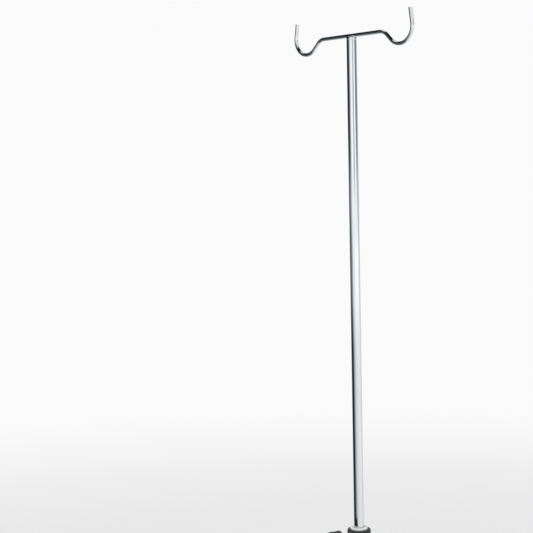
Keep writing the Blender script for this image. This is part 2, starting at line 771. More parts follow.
class StandColours(bpy.types.PropertyGroup):
    """Colours of the main finishes."""
    chrome: bpy.props.FloatVectorProperty(
        name="Chrome", description="Chrome plate", default=(0.80, 0.81, 0.82), subtype="COLOR")
    zinc: bpy.props.FloatVectorProperty(
        name="Zinc", description="Zinc-plated steel", default=(0.60, 0.61, 0.62), subtype="COLOR")
    cast: bpy.props.FloatVectorProperty(
        name="Cast metal", description="Cast aluminium hub", default=(0.62, 0.63, 0.64), subtype="COLOR")
    moulding: bpy.props.FloatVectorProperty(
        name="Moulding", description="Black mouldings", default=(0.012, 0.012, 0.014), subtype="COLOR")
    wheel: bpy.props.FloatVectorProperty(
        name="Wheel", description="Wheel centres", default=(0.50, 0.51, 0.52), subtype="COLOR")
    tyre: bpy.props.FloatVectorProperty(
        name="Tyre", description="Tyres", default=(0.130, 0.133, 0.138), subtype="COLOR")
    pedal: bpy.props.FloatVectorProperty(
        name="Pedal", description="Brake pedals", default=(0.52, 0.022, 0.018), subtype="COLOR")


class StageSettings(bpy.types.PropertyGroup):
    """The camera's place and the light."""
    azimuth: bpy.props.FloatProperty(
        name="Azimuth", description="Camera's way round the stand", default=math.radians(49.8),
        subtype="ANGLE")
    pitch: bpy.props.FloatProperty(
        name="Pitch", description="Camera's tilt, down negative", default=math.radians(-4.37),
        subtype="ANGLE")
    roll: bpy.props.FloatProperty(
        name="Roll", description="Camera's roll", default=math.radians(1.2), subtype="ANGLE")
    depth: bpy.props.FloatProperty(
        name="Depth", description="Distance to the hanger along the view", default=1.975, unit="LENGTH")
    aside: bpy.props.FloatProperty(
        name="Aside", description="Hanger's place right of the view's middle", default=0.1342, unit="LENGTH")
    above: bpy.props.FloatProperty(
        name="Above", description="Hanger's place above the view's middle", default=0.3649, unit="LENGTH")
    lens: bpy.props.FloatProperty(
        name="Lens", description="Focal length on a 36 mm sensor, in mm", default=84.4)
    daylight: bpy.props.FloatProperty(name="Daylight", description="Soft light from all round", default=1.0)


# ---------- hanger and mast ----------

def hook_height():
    """Height of the rod's centreline, which lies in the plug's saddle a little above the plug's top."""
    return top("mast_top_plug") + 1.5 * MM


def hanger_path(s):
    """Points and section scales along the whole rod, tip to tip, in the XZ plane."""
    step = math.radians(3)

    def arc(centre, radius, start, sweep):
        n = max(2, round(abs(sweep) / step))
        return [centre + Vector((math.cos(start + sweep * k / n), math.sin(start + sweep * k / n))) * radius
                for k in range(n + 1)]

    shoulder = Vector((s.straight, -s.shoulder))
    down = arc(shoulder, s.shoulder, math.pi / 2, -s.drop)
    low = down[-1] + Vector((math.cos(s.drop), -math.sin(s.drop))) * s.slope
    centre = low + Vector((math.sin(s.drop), math.cos(s.drop))) * s.hook
    hook = arc(centre, s.hook, -math.pi / 2 - s.drop, math.pi / 2 + s.drop + s.lean)
    along = Vector((-math.sin(s.lean), math.cos(s.lean)))
    tip = [(0.3, 1), (0.7, 1)]
    last = math.radians(72)
    for k in range(7):
        turn = last * k / 6
        tip.append((1 - s.dome / s.upright * (1 - math.sin(turn) / math.sin(last)), math.cos(turn)))
    half = [(p, 1) for p in down + hook] + [(hook[-1] + along * s.upright * t, k) for t, k in tip]
    middle_run = [(Vector((x * s.straight, 0)), 1) for x in (-0.6, -0.2, 0.2, 0.6)]
    mirrored = [(Vector((-p.x, p.y)), k) for p, k in reversed(half)]
    z = hook_height()
    whole = mirrored + middle_run + half
    return [Vector((p.x, 0, z + p.y)) for p, _ in whole], [k for _, k in whole]


class DRIP_OT_hanger(bpy.types.Operator):
    """Bend the hanger rod and lay the weld that holds it"""
    bl_idname = "drip.hanger"
    bl_label = "Hanger"

    def execute(self, context):
        s = context.scene.drip_hanger
        points, scales = hanger_path(s)
        rod = run_nodes(path_object("rod_path", points, scales), "hanger_rod", sweep_tree(),
                        Radius=s.rod / 2, Sides=40, Material=get_finish("chrome_rod"))
        settle(rod, "hook_bar", get_finish("chrome_rod"))
        z, reach = hook_height(), TUBE_R * 0.90
        for side, name in ((1, "weld_bead_back"), (-1, "weld_bead_front")):
            y = side * (s.rod / 2 + 0.25 * s.weld)
            seam = [Vector((x * reach, y * (1 - 0.10 * abs(x) ** 3), z - 1.0 * MM - 1.2 * MM * abs(x) ** 4))
                    for x in np.linspace(-1, 1, 49)]
            swell = [0.55 + 0.45 * math.sqrt(max(0.0, 1 - (k / 24 - 1) ** 2)) for k in range(49)]
            bead = run_nodes(path_object("seam", seam, swell), name, sweep_tree(), math.radians(60),
                             Radius=s.weld, Sides=16, Ripples=9.0, Ripple_Depth=0.14,
                             Material=get_finish("weld"))
            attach(bead, "mast")
        return {"FINISHED"}


class DRIP_OT_mast(bpy.types.Operator):
    """Draw both tubes of the mast, with what closes, guides and fixes them"""
    bl_idname = "drip.mast"
    bl_label = "Mast"

    def execute(self, context):
        low, high = bottom("upper_tube"), top("upper_tube")
        bore = size("mast_foot_plug").x / 2
        inner = TUBE_R - 1.2 * MM
        piece = turned("upper_mast", pipe_profile(TUBE_R, inner, low, high, 0.3 * MM), steps=128, closed=True)
        settle(piece, "upper_tube", get_finish("chrome_tube"))

        cap_top = top("mast_top_plug")
        seam_r, seam_top = TUBE_R - 0.25 * MM, high + 0.35 * MM
        crown = rounded([(0, high - 12 * MM), (inner - FIT, high - 12 * MM, 0.8 * MM), (inner - FIT, high, 0),
                         (seam_r, high, 0.1 * MM), (seam_r, seam_top, 0.1 * MM),
                         (TUBE_R, seam_top, 0.12 * MM), (TUBE_R, cap_top - 0.1 * MM, 2.2 * MM),
                         (0, cap_top)], 8)
        settle(turned("top_plug", crown, steps=128), "mast_top_plug", get_finish("chrome_rod"))

        foot_low, foot_high = bottom("mast_foot_plug"), top("mast_foot_plug")
        foot = rounded([(0, foot_low), (bore, foot_low, 0.9 * MM), (bore, low, 0.3 * MM),
                        (inner - FIT, low, 0), (inner - FIT, foot_high, 1 * MM), (0, foot_high)])
        settle(turned("foot_plug", foot), "mast_foot_plug", get_finish("zinc"))

        for node, finish in (("stop_sleeve", "zinc"), ("guide_bush", "white_bush")):
            profile = pipe_profile(size(node).x / 2, TUBE_R + 0.04 * MM, bottom(node), top(node), 0.5 * MM)
            settle(turned(node + "_piece", profile, closed=True), node, get_finish(finish))

        low, high = bottom("lower_tube"), top("lower_tube")
        wall = LOWER_R - 1.5 * MM
        piece = turned("lower_mast", pipe_profile(LOWER_R, wall, low, high, 0.4 * MM), steps=128, closed=True)
        settle(piece, "lower_tube", get_finish("chrome_tube"))
        plug = pipe_profile(wall - FIT, 5.02 * MM, low, top("lower_tube_plug"), 0.6 * MM)
        settle(turned("tube_plug", plug, closed=True), "lower_tube_plug", get_finish("zinc"))
        return {"FINISHED"}


# ---------- clamp ----------

def facing_front(y):
    """Turns +Z into -Y on the clamp screw's axis, starting at distance y in front of the mast."""
    return Matrix.Translation((0, -y, CLAMP_Z)) @ Matrix.Rotation(math.pi / 2, 4, "X")


def thread(name, radius, pitch, low, high, place, sides=48):
    """A threaded rod with a chamfered start: one helical ridge, closed at both ends."""
    rows = int(round((high - low) / pitch * 8))
    verts, faces = [], []
    for k in range(rows + 1):
        z = low + (high - low) * k / rows
        ease = min(1.0, (z - low) / pitch, (high - z) / pitch)
        for s in range(sides):
            t = math.tau * s / sides
            wave = abs(((z - low) / pitch - s / sides) % 1.0 * 2 - 1)
            r = radius - 0.61 * pitch * (1 - ease * wave)
            verts.append(place @ Vector((r * math.cos(t), r * math.sin(t), z)))
    for k in range(rows):
        for s in range(sides):
            e = (s + 1) % sides
            faces.append((k * sides + s, k * sides + e, (k + 1) * sides + e, (k + 1) * sides + s))
    faces.append(tuple(range(sides)))
    faces.append(tuple(rows * sides + s for s in range(sides)))
    return new_object(name, verts, faces, math.radians(20))


class DRIP_OT_clamp(bpy.types.Operator):
    """Mould the clamp collar with its liner, screws, pad, stud and star knob"""
    bl_idname = "drip.clamp"
    bl_label = "Height clamp"

    def execute(self, context):
        low, high = bottom("clamp_collar"), top("clamp_collar")
        seat_top = top("lower_tube")
        nose = -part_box("clamp_collar")[0].y
        screw_z = middle("collar_set_screws").z
        r_out = size("clamp_collar").x / 2

        def collar(x, y, z):
            body = slab(disc(x, y, r_out), z, low, high, 2.5 * MM)
            boss = slab(disc(x, z - CLAMP_Z, 10 * MM), -y, 2 * MM, nose, 1.5 * MM)
            rib_top = slab(np.abs(x) - 1.5 * MM, z, low + 8 * MM, high - 6 * MM, 1 * MM)
            rib = np.maximum(rib_top, np.maximum(-y - (nose - 6 * MM - 0.55 * np.abs(z - CLAMP_Z)), y))
            d = smooth_min(smooth_min(body, boss, 6 * MM), rib, 2.5 * MM)
            groove = np.hypot(disc(x, y, r_out), z - (low + 5 * MM)) - 1 * MM
            d = smooth_max(d, -groove, 1.2 * MM)
            seat = slab(disc(x, y, LOWER_R + FIT), z, low - 10 * MM, seat_top, 0.2 * MM)
            neck = disc(x, y, LINER_R + FIT)
            d = smooth_max(smooth_max(d, -seat, 0.8 * MM), -neck, 0.4 * MM)
            stud = slab(disc(x, z - CLAMP_Z, 4.06 * MM), -y, 4 * MM, nose + 5 * MM, 0.1 * MM)
            grub = disc(y, z - screw_z, 2.5 * MM + FIT)
            return smooth_max(smooth_max(d, -stud, 0.6 * MM), -grub, 0.5 * MM)

        piece = net("collar", collar, *around(*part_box("clamp_collar")), 0.58 * MM)
        settle(piece, "clamp_collar", get_finish("black_moulding"))

        liner_low, flange_top = bottom("collar_liner"), top("collar_liner")
        flange_r, bore = size("collar_liner").x / 2, TUBE_R + 0.06 * MM
        ring = rounded([(bore, high - 10 * MM), (bore, flange_top, 1.2 * MM),
                        (flange_r, flange_top, 0.9 * MM), (flange_r, high, 0.3 * MM), (LINER_R, high, 0),
                        (LINER_R, liner_low, 0.5 * MM), (bore, liner_low, 0.5 * MM), (bore, high - 12 * MM)])
        settle(turned("liner", ring, steps=96, closed=True), "collar_liner", get_finish("white_bush"))

        def grub(x, y, z):
            body = slab(disc(x, y, 2.5 * MM), z, 0, 6 * MM, 0.5 * MM)
            return smooth_max(body, -slab(hexagon(x, y, 2.5 * MM), z, 3.5 * MM, 9 * MM, 0.1 * MM), 0.15 * MM)

        lay = Matrix.Translation((LOWER_R + FIT, 0, screw_z)) @ Matrix.Rotation(math.pi / 2, 4, "Y")
        pattern = net("grub_pattern", grub, (-3 * MM, -3 * MM, -0.5 * MM), (3 * MM, 3 * MM, 6.5 * MM),
                      0.2 * MM, lay)
        settle(repeated("grub_screws", pattern, 2, "zinc"), "collar_set_screws", get_finish("zinc"))

        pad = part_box("clamp_pad")
        face = rounded([(0, 0), (3.7 * MM, 0, 0.4 * MM), (3.7 * MM, 3 * MM, 0.6 * MM), (0, 3 * MM)])
        settle(turned("pad", face, facing_front(-pad[1].y), 48), "clamp_pad", get_finish("brass"))

        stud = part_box("clamp_stud")
        piece = thread("stud", 4 * MM, 1.25 * MM, -stud[1].y, -stud[0].y, facing_front(0))
        settle(piece, "clamp_stud", get_finish("zinc"))

        back = -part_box("clamp_knob")[1].y
        front = -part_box("clamp_knob")[0].y
        knob_r, lobes = 21 * MM, 5

        def knob(x, y, z):
            a, b, c = x, z - CLAMP_Z, -y
            rho, turn = np.hypot(a, b), np.arctan2(b, a)
            wave = np.cos(lobes * turn)
            edge = knob_r - 3.1 * MM * (1 - wave) / 2 * (1.4 - 0.4 * wave)
            slope = 3.1 * MM * lobes / 2 * np.sin(lobes * turn) / np.maximum(rho, 5 * MM)
            star = slab((rho - edge) / np.sqrt(1 + slope ** 2), c, back + 7 * MM, front, 3 * MM)
            dish = np.hypot(rho, c - front - 31 * MM) - 32.5 * MM
            star = smooth_max(star, -dish, 1.5 * MM)
            cone = slab(rho - 8.5 * MM - 0.35 * (c - back), c, back, back + 9 * MM, 1 * MM)
            boss = slab(rho - 9.6 * MM, c, back + 6 * MM, front, 0.8 * MM)
            d = smooth_min(smooth_min(star, cone, 4 * MM), boss, 1.2 * MM)
            for k in range(lobes):
                spoke = math.tau * (k + 0.5) / lobes
                pocket = np.hypot(a - 19 * MM * math.cos(spoke), b - 19 * MM * math.sin(spoke)) - 1.2 * MM
                d = smooth_max(d, -slab(pocket, c, front - 6 * MM, front + 4 * MM, 0.5 * MM), 0.8 * MM)
            seat = slab(rho - 8.02 * MM, c, front - CAP_SEAT, front + 5 * MM, 0.1 * MM)
            d = smooth_max(d, -seat, 0.3 * MM)
            return np.maximum(d, -slab(rho - 4.02 * MM, c, back - 5 * MM, back + 14 * MM, 0.1 * MM))

        piece = net("star_knob", knob, *around(*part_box("clamp_knob")), 0.6 * MM)
        settle(piece, "clamp_knob", get_finish("black_moulding"))

        cap_back = front - CAP_SEAT
        cap_h = -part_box("knob_cap")[0].y - cap_back
        dome = rounded([(0, 0), (8 * MM, 0, 0), (8 * MM, cap_h - 0.6 * MM, 0.5 * MM),
                        (5 * MM, cap_h - 0.15 * MM, 3 * MM), (0, cap_h)], 6)
        settle(turned("cap", dome, facing_front(cap_back), 64), "knob_cap", get_finish("grey_cap"))
        return {"FINISHED"}


# ---------- base ----------

def leg_place(i, r):
    """Turns +Z outwards along leg i, starting on its centreline at r from the mast."""
    z = LEG_END_Z + (CASTOR_R - r) * math.tan(LEG_SLOPE)
    return (Matrix.Rotation(leg_angle(i), 4, "Z") @ Matrix.Translation((r, 0, z))
            @ Matrix.Rotation(math.pi / 2 + LEG_SLOPE, 4, "Y"))


def repeated(name, pattern, count, finish, body=None, place=Matrix()):
    """A body with evenly spaced copies of the pattern object about Z, as one plain mesh, moved by the place
    matrix. The pattern itself is removed."""
    body = body or new_object("carrier", [], [])
    made = run_nodes(body, name, repeat_tree(), place=place, Pattern=pattern, Count=count,
                     Material=get_finish(finish))
    bpy.data.objects.remove(pattern)
    return made


def along_leg(i, x, y, z):
    """Coordinates across, down and along leg i, for points in the frame's own axes."""
    place = np.array(leg_place(i, 0).inverted())
    points = np.stack([x, y, z, np.ones_like(x)])
    down, across, out = np.tensordot(place[:3], points, 1)
    return down, across, out


def leg_screw(x, y, z):
    """Distance to a cap screw: head upwards from 0 along z, shank below it, hexagon socket in its top."""
    head_h = 5 * MM
    head = slab(disc(x, y, 4.25 * MM), z, 0, head_h, 0.7 * MM)
    shank = slab(disc(x, y, 2.5 * MM), z, -6 * MM, head_h / 2, 0.3 * MM)
    socket = slab(hexagon(x, y, 4 * MM), z, head_h * 0.45, head_h * 2, 0.1 * MM)
    return smooth_max(np.minimum(head, shank), -socket, 0.3 * MM)


class DRIP_OT_hub(bpy.types.Operator):
    """Cast the hub and add its trim ring, bolts and screws"""
    bl_idname = "drip.hub"
    bl_label = "Hub"

    def execute(self, context):
        low, high = bottom("base_hub"), top("base_hub")
        mast_floor, hub_r = bottom("lower_tube"), 34 * MM

        def hub(x, y, z):
            rho = np.hypot(x, y)
            body = slab(rho - hub_r, z, low, high - 8 * MM, 3 * MM)
            taper = np.maximum(0, z - (high - 9 * MM)) * 1.5
            shoulder = slab(rho - hub_r + taper, z, low + 4 * MM, high, 1.5 * MM)
            d = smooth_min(body, shoulder, 5 * MM)
            for i in LEGS:
                down, across, out = along_leg(i, x, y, z)
                boss = slab(disc(down, across, 14.5 * MM), out, 15 * MM, 62 * MM * LEG_STEP, 1.5 * MM)
                d = smooth_min(d, boss, 9 * MM)
            for i in LEGS:
                down, across, out = along_leg(i, x, y, z)
                bore = slab(disc(down, across, LEG_R + FIT), out, LEG_START_R * LEG_STEP, 80 * MM, 0.2 * MM)
                d = smooth_max(d, -bore, 1 * MM)
                past = out - LEG_SCREW_R * LEG_STEP
                seat = slab(disc(past, across, 5.5 * MM), down, LEG_SCREW_SEAT, 30 * MM, 0.2 * MM)
                hole = slab(disc(past, across, 2.75 * MM), down, 0, 30 * MM, 0.2 * MM)
                d = smooth_max(smooth_max(d, -seat, 0.6 * MM), -hole, 0.3 * MM)
            mast = slab(rho - LOWER_R - FIT, z, mast_floor, high + 20 * MM, 0.3 * MM)
            recess = slab(rho - 15 * MM, z, low - 10 * MM, low + 6 * MM, 0.5 * MM)
            d = smooth_max(smooth_max(d, -mast, 1 * MM), -recess, 1 * MM)
            return smooth_max(d, -(rho - 5.3 * MM), 0.4 * MM)

        piece = net("hub", hub, *around(*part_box("base_hub")), 1.15 * MM)
        settle(piece, "base_hub", get_finish("cast_metal"))

        ring_low, ring_high = bottom("hub_trim_ring"), top("hub_trim_ring")
        inside, outside = LOWER_R + FIT, size("hub_trim_ring").x / 2
        collar = rounded([(inside, ring_low + 2 * MM), (inside, ring_high, 0.4 * MM),
                          (inside + 1.8 * MM, ring_high, 0.9 * MM),
                          (outside - 2.5 * MM, ring_low + 3.4 * MM, 2.5 * MM),
                          (outside, ring_low + 2.4 * MM, 1 * MM), (outside, ring_low, 0.3 * MM),
                          (inside, ring_low, 0.3 * MM), (inside, ring_low + 1 * MM)])
        piece = turned("trim_ring", collar, steps=96, closed=True)
        settle(piece, "hub_trim_ring", get_finish("black_moulding"))

        head_low, head_high = bottom("mast_bolt"), bottom("mast_bolt_washer")
        bolt_top = top("mast_bolt")

        def bolt(x, y, z):
            head = slab(hexagon(x, y, 15.8 * MM), z, head_low, head_high, 0.3 * MM)
            head = np.maximum(head, (np.hypot(x, y) - 7.7 * MM - 1.7 * (z - head_low)) * 0.5)
            shank = slab(disc(x, y, 5 * MM), z, head_high - MM, bolt_top, 0.8 * MM)
            return np.minimum(head, shank)

        piece = net("mast_bolt_piece", bolt, (-10 * MM, -10 * MM, head_low - MM),
                    (10 * MM, 10 * MM, bolt_top + MM), 0.5 * MM)
        settle(piece, "mast_bolt", get_finish("zinc"))
        washer = pipe_profile(12 * MM, 5.3 * MM, head_high, head_high + 2 * MM, 0.4 * MM)
        settle(turned("mast_washer", washer, closed=True), "mast_bolt_washer", get_finish("zinc"))

        lay = (leg_place(1, LEG_SCREW_R) @ Matrix.Rotation(math.pi / 2, 4, "Y")
               @ Matrix.Translation((0, 0, LEG_SCREW_SEAT)))
        pattern = net("screw_pattern", leg_screw, (-5 * MM, -5 * MM, -6.5 * MM), (5 * MM, 5 * MM, 5.5 * MM),
                      0.35 * MM, lay)
        settle(repeated("hub_screws", pattern, 5, "zinc"), "leg_screws", get_finish("zinc"))
        return {"FINISHED"}


class DRIP_OT_legs(bpy.types.Operator):
    """Draw the leg tubes and mould the castor sockets on their ends"""
    bl_idname = "drip.legs"
    bl_label = "Legs"

    def execute(self, context):
        stem_z = bottom("castor_socket_1")
        socket_top = top("castor_socket_1")
        post_r = 14 * MM

        def socket(x, y, z):
            down, across, out = along_leg(1, x, y, z)
            side = disc(x, y - CASTOR_R, post_r)
            post = slab(side, z, stem_z, socket_top, 4.5 * MM)
            foot = slab(side, z, stem_z, stem_z + 8 * MM, 0.8 * MM)
            neck = slab(disc(down, across, LEG_R + 1 * MM), out, LEG_END_R * LEG_STEP,
                        CASTOR_R * LEG_STEP, 1 * MM)
            d = smooth_min(smooth_min(post, foot, 1 * MM), neck, 7 * MM)
            plug = slab(disc(down, across, LEG_R - 1.52 * MM), out, (LEG_END_R - 25 * MM) * LEG_STEP,
                        (LEG_END_R + 4 * MM) * LEG_STEP, 1 * MM)
            d = smooth_min(d, plug, 0.2 * MM)
            seam = np.hypot(side, z - stem_z - 10 * MM) - 0.9 * MM
            stem = slab(disc(x, y - CASTOR_R, 5.52 * MM), z, stem_z - 5 * MM, stem_z + 31 * MM, 0.2 * MM)
            return smooth_max(smooth_max(d, -seam, 1.2 * MM), -stem, 0.5 * MM)

        first = net("socket_pattern", socket, *around(*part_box("castor_socket_1")), 0.66 * MM)
        tube = pipe_profile(LEG_R, LEG_R - 1.5 * MM, LEG_START_R * LEG_STEP, LEG_END_R * LEG_STEP,
                            0.3 * MM)
        for i in LEGS:
            piece = turned(f"leg_tube_{i}", tube, leg_place(i, 0), 96, closed=True)
            settle(piece, f"leg_{i}", get_finish("chrome_tube"))
            turn = Matrix.Rotation(leg_angle(i) - leg_angle(1), 4, "Z")
            piece = copy_moved(first, f"socket_{i}", turn)
            settle(piece, f"castor_socket_{i}", get_finish("black_moulding"))
        bpy.data.objects.remove(first)
        return {"FINISHED"}


# ---------- castors ----------

def castor_axis(i):
    """Moves a piece from the origin to castor i's swivel axis."""
    stem = middle(f"castor_stem_{i}")
    return Matrix.Translation((stem.x, stem.y, 0))


def on_axle(centre=0.0):
    """Turns +Z into +X on the wheel's axle, of a castor at the origin."""
    return Matrix.Translation((centre, -TRAIL, WHEEL_Z)) @ Matrix.Rotation(math.pi / 2, 4, "Y")


def local_box(node, i):
    """A node's box, measured from its castor's swivel axis."""
    back = castor_axis(i).inverted()
    low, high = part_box(node)
    return back @ low, back @ high


def hand_out(pattern, node, finish, castors=LEGS):
    """Places a copy of the pattern on each castor, and removes the pattern."""
    for i in castors:
        piece = copy_moved(pattern, f"{pattern.name}_{i}", castor_axis(i))
        settle(piece, f"{node}_{i}", get_finish(finish))
    bpy.data.objects.remove(pattern)


def stem_profile():
    """Rivet head, neck, bearing flange and stem, from the bottom up."""
    low, high = local_box("castor_stem_1", 1)
    rivet, neck, flange, stem = 7.5 * MM, 4.5 * MM, high.x, 5.5 * MM
    rivet_top, flange_low, flange_high = low.z + 2.2 * MM, low.z + 5.6 * MM, low.z + 8.2 * MM
    waist, groove = stem - 0.7 * MM, low.z + 24 * MM
    return rounded([(0, low.z), (rivet - 1.3 * MM, low.z, 1.2 * MM), (rivet, low.z + 1.3 * MM, 0.7 * MM),
                    (rivet, rivet_top, 0.2 * MM), (neck, rivet_top, 0), (neck, flange_low, 0),
                    (flange - 1.4 * MM, flange_low, 0.6 * MM), (flange, flange_low + 1 * MM, 0.6 * MM),
                    (flange, flange_high, 0.4 * MM), (stem, flange_high, 0.2 * MM), (stem, groove, 0.2 * MM),
                    (waist, groove + 0.5 * MM, 0.2 * MM), (waist, groove + 3 * MM, 0.2 * MM),
                    (stem, groove + 3.5 * MM, 0.2 * MM), (stem, high.z - 1.5 * MM, 0.4 * MM),
                    (stem - 1.5 * MM, high.z, 0.4 * MM), (0, high.z)])


def fork_field(braked):
    """Distance to a fork pressed from 2 mm sheet: a round-nosed plate with two cheeks bent down."""
    high = local_box("castor_fork_1", 1)[1]
    plate_top, plate_t, nose = high.z, 2.6 * MM, high.x
    outside, inside = 12.5 * MM, 10.5 * MM
    back, ear_y, ear_z = -TRAIL - 14 * MM, -TRAIL - PEDAL_BACK, PEDAL_PIN_Z
    cheek = [(13 * MM, plate_top), (13 * MM, plate_top - 6.6 * MM), (-TRAIL + 9 * MM, WHEEL_Z - 2 * MM),
             (-TRAIL - 9 * MM, WHEEL_Z - 2 * MM), (back, plate_top - 10.6 * MM), (back, plate_top)]
    ear = [(back + 4 * MM, plate_top), (back + 4 * MM, plate_top - 22 * MM), (ear_y - 3 * MM, ear_z - 5 * MM),
           (ear_y, ear_z + 6 * MM)]

    def fork(x, y, z):
        side = smooth_min(polygon(y, z, cheek), disc(y + TRAIL, z - WHEEL_Z, 9.4 * MM), 3 * MM)
        if braked:
            arm = smooth_min(polygon(y, z, ear), disc(y - ear_y, z - ear_z, 6 * MM), 1.5 * MM)
            side = smooth_min(side, arm, 4 * MM)
        bend = plate(x, z, (-outside, -plate_top), (outside, plate_top), 3.2 * MM)
        hollow = plate(x, z, (-inside, -plate_top), (inside, plate_top - plate_t), 1.2 * MM)
        shell = smooth_max(bend, -hollow, 0.3 * MM)
        roof = plate(x, y, (-outside, back), (outside, 13 * MM), 3 * MM)
        outline = np.where(z > plate_top - plate_t - 1.2 * MM, np.minimum(roof, side), side)
        sheet = smooth_max(shell, outline, 0.8 * MM)
        round_nose = slab(disc(x, y, nose), z, plate_top - plate_t, plate_top, 0.8 * MM)
        dome = slab(disc(x, y, 12 * MM), z, plate_top - plate_t, plate_top, 0.8 * MM)
        d = smooth_min(smooth_min(sheet, round_nose, 1.5 * MM), dome, 0.5 * MM)
        d = smooth_max(d, -disc(x, y, 4.56 * MM), 0.5 * MM)
        return smooth_max(d, -disc(y + TRAIL, z - WHEEL_Z, 3.02 * MM), 0.4 * MM)

    return fork


def axle_field(x, y, z):
    """Distance to the axle bolt along z, its hexagon head below and its lock nut above."""
    low, high = local_box("castor_axle_1", 1)
    cheek, flats = 12.5 * MM, 9.96 * MM
    shank = slab(disc(x, y, 3 * MM), z, -cheek, high.x, 0.6 * MM)
    head = slab(hexagon(x, y, flats), z, low.x, -cheek, 0.3 * MM)
    head = smooth_max(head, (np.hypot(x, y) - 4.9 * MM - 1.5 * (z - low.x)) * 0.55, 0.2 * MM)
    nut = slab(hexagon(x, y, flats), z, cheek, cheek + 4.5 * MM, 0.3 * MM)
    nut = smooth_max(nut, (np.hypot(x, y) - 4.9 * MM - 1.5 * (cheek + 4.5 * MM - z)) * 0.55, 0.2 * MM)
    return np.minimum(shank, smooth_min(head, nut, 0.01 * MM))


def wheel_field(x, y, z):
    """Distance to the wheel's centre about z: hub, dished web with five holes, and rim."""
    rho = np.hypot(x, y)
    rim_r, rim_half, hub_half = TYRE_BED_R - FIT, TYRE_HALF - 1 * MM, 10.2 * MM
    hub = slab(rho - 7 * MM, z, -hub_half, hub_half, 0.8 * MM)
    web = slab(rho - 21 * MM, z, -2.5 * MM, 2.5 * MM, 0.2 * MM)
    rim = smooth_max(slab(rho - rim_r, z, -rim_half, rim_half, 0.6 * MM), 19.2 * MM - rho, 1.4 * MM)
    d = smooth_min(smooth_min(hub, web, 2 * MM), rim, 2 * MM)
    for k in range(5):
        a = math.tau * k / 5
        d = smooth_max(d, -disc(x - 13 * MM * math.cos(a), y - 13 * MM * math.sin(a), 3 * MM), 0.8 * MM)
    return smooth_max(d, -(rho - 3.06 * MM), 0.5 * MM)


def rib_field(x, y, z):
    """Distance to one stiffening rib, on both faces of the web, between two of its holes."""
    a = math.pi / 5
    along, across = x * math.cos(a) + y * math.sin(a), y * math.cos(a) - x * math.sin(a)
    reach = TYRE_HALF - 2.2 * MM - 0.09 * (along - 6 * MM)
    flat = plate(along, across, (5.5 * MM, -0.9 * MM), (20.5 * MM, 0.9 * MM), 0.5 * MM)
    return smooth_max(flat, np.abs(z) - reach, 0.8 * MM)


def tyre_profile():
    """Tyre section with rounded shoulders and two fine grooves round the tread."""
    bed, side, groove = TYRE_BED_R, TYRE_HALF, 3.4 * MM
    shoulder, floor = TYRE_R - 2.8 * MM, TYRE_R - 0.7 * MM
    tread = [(bed, 0), (bed, side, 0.4 * MM), (shoulder, side, 2 * MM), (TYRE_R, side - 3 * MM, 2.5 * MM)]
    for at in (groove, -groove):
        tread += [(TYRE_R, at + 0.7 * MM, 0.2 * MM), (floor, at + 0.4 * MM, 0.15 * MM),
                  (floor, at - 0.4 * MM, 0.15 * MM), (TYRE_R, at - 0.7 * MM, 0.2 * MM)]
    tread += [(TYRE_R, -side + 3 * MM, 2.5 * MM), (shoulder, -side, 2 * MM), (bed, -side, 0.4 * MM),
              (bed, -1 * MM)]
    return rounded(tread, 4)


class DRIP_OT_castors(bpy.types.Operator):
    """Make one castor of each kind and hand its pieces out to the legs"""
    bl_idname = "drip.castors"
    bl_label = "Castors"

    def execute(self, context):
        hand_out(turned("stem_piece", stem_profile()), "castor_stem", "zinc")
        for kind, castors in (("plain", [i for i in LEGS if i not in BRAKED]), ("braked", BRAKED)):
            box = local_box(f"castor_fork_{castors[0]}", castors[0])
            pattern = net(f"{kind}_fork", fork_field(kind == "braked"), *around(*box), 0.68 * MM)
            hand_out(pattern, "castor_fork", "zinc", castors)
        reach = size("castor_axle_1").x / 2 + 2 * MM
        bolt = net("axle_bolt", axle_field, (-7 * MM, -7 * MM, -reach), (7 * MM, 7 * MM, reach + 2 * MM),
                   0.42 * MM, on_axle())
        hand_out(bolt, "castor_axle", "zinc")
        edge, half = TYRE_BED_R + 1 * MM, 11 * MM
        disc_piece = net("wheel_disc", wheel_field, (-edge, -edge, -half), (edge, edge, half), 0.52 * MM)
        rib = net("rib", rib_field, (3 * MM, 2 * MM, -8 * MM), (19 * MM, 14 * MM, 8 * MM), 0.45 * MM)
        wheel = repeated("wheel_centre", rib, 5, "wheel_moulding", disc_piece, on_axle())
        hand_out(wheel, "castor_wheel", "wheel_moulding")
        tyre = turned("tyre_ring", tyre_profile(), on_axle(), 128, closed=True)
        hand_out(tyre, "castor_tyre", "tyre_rubber")
        return {"FINISHED"}


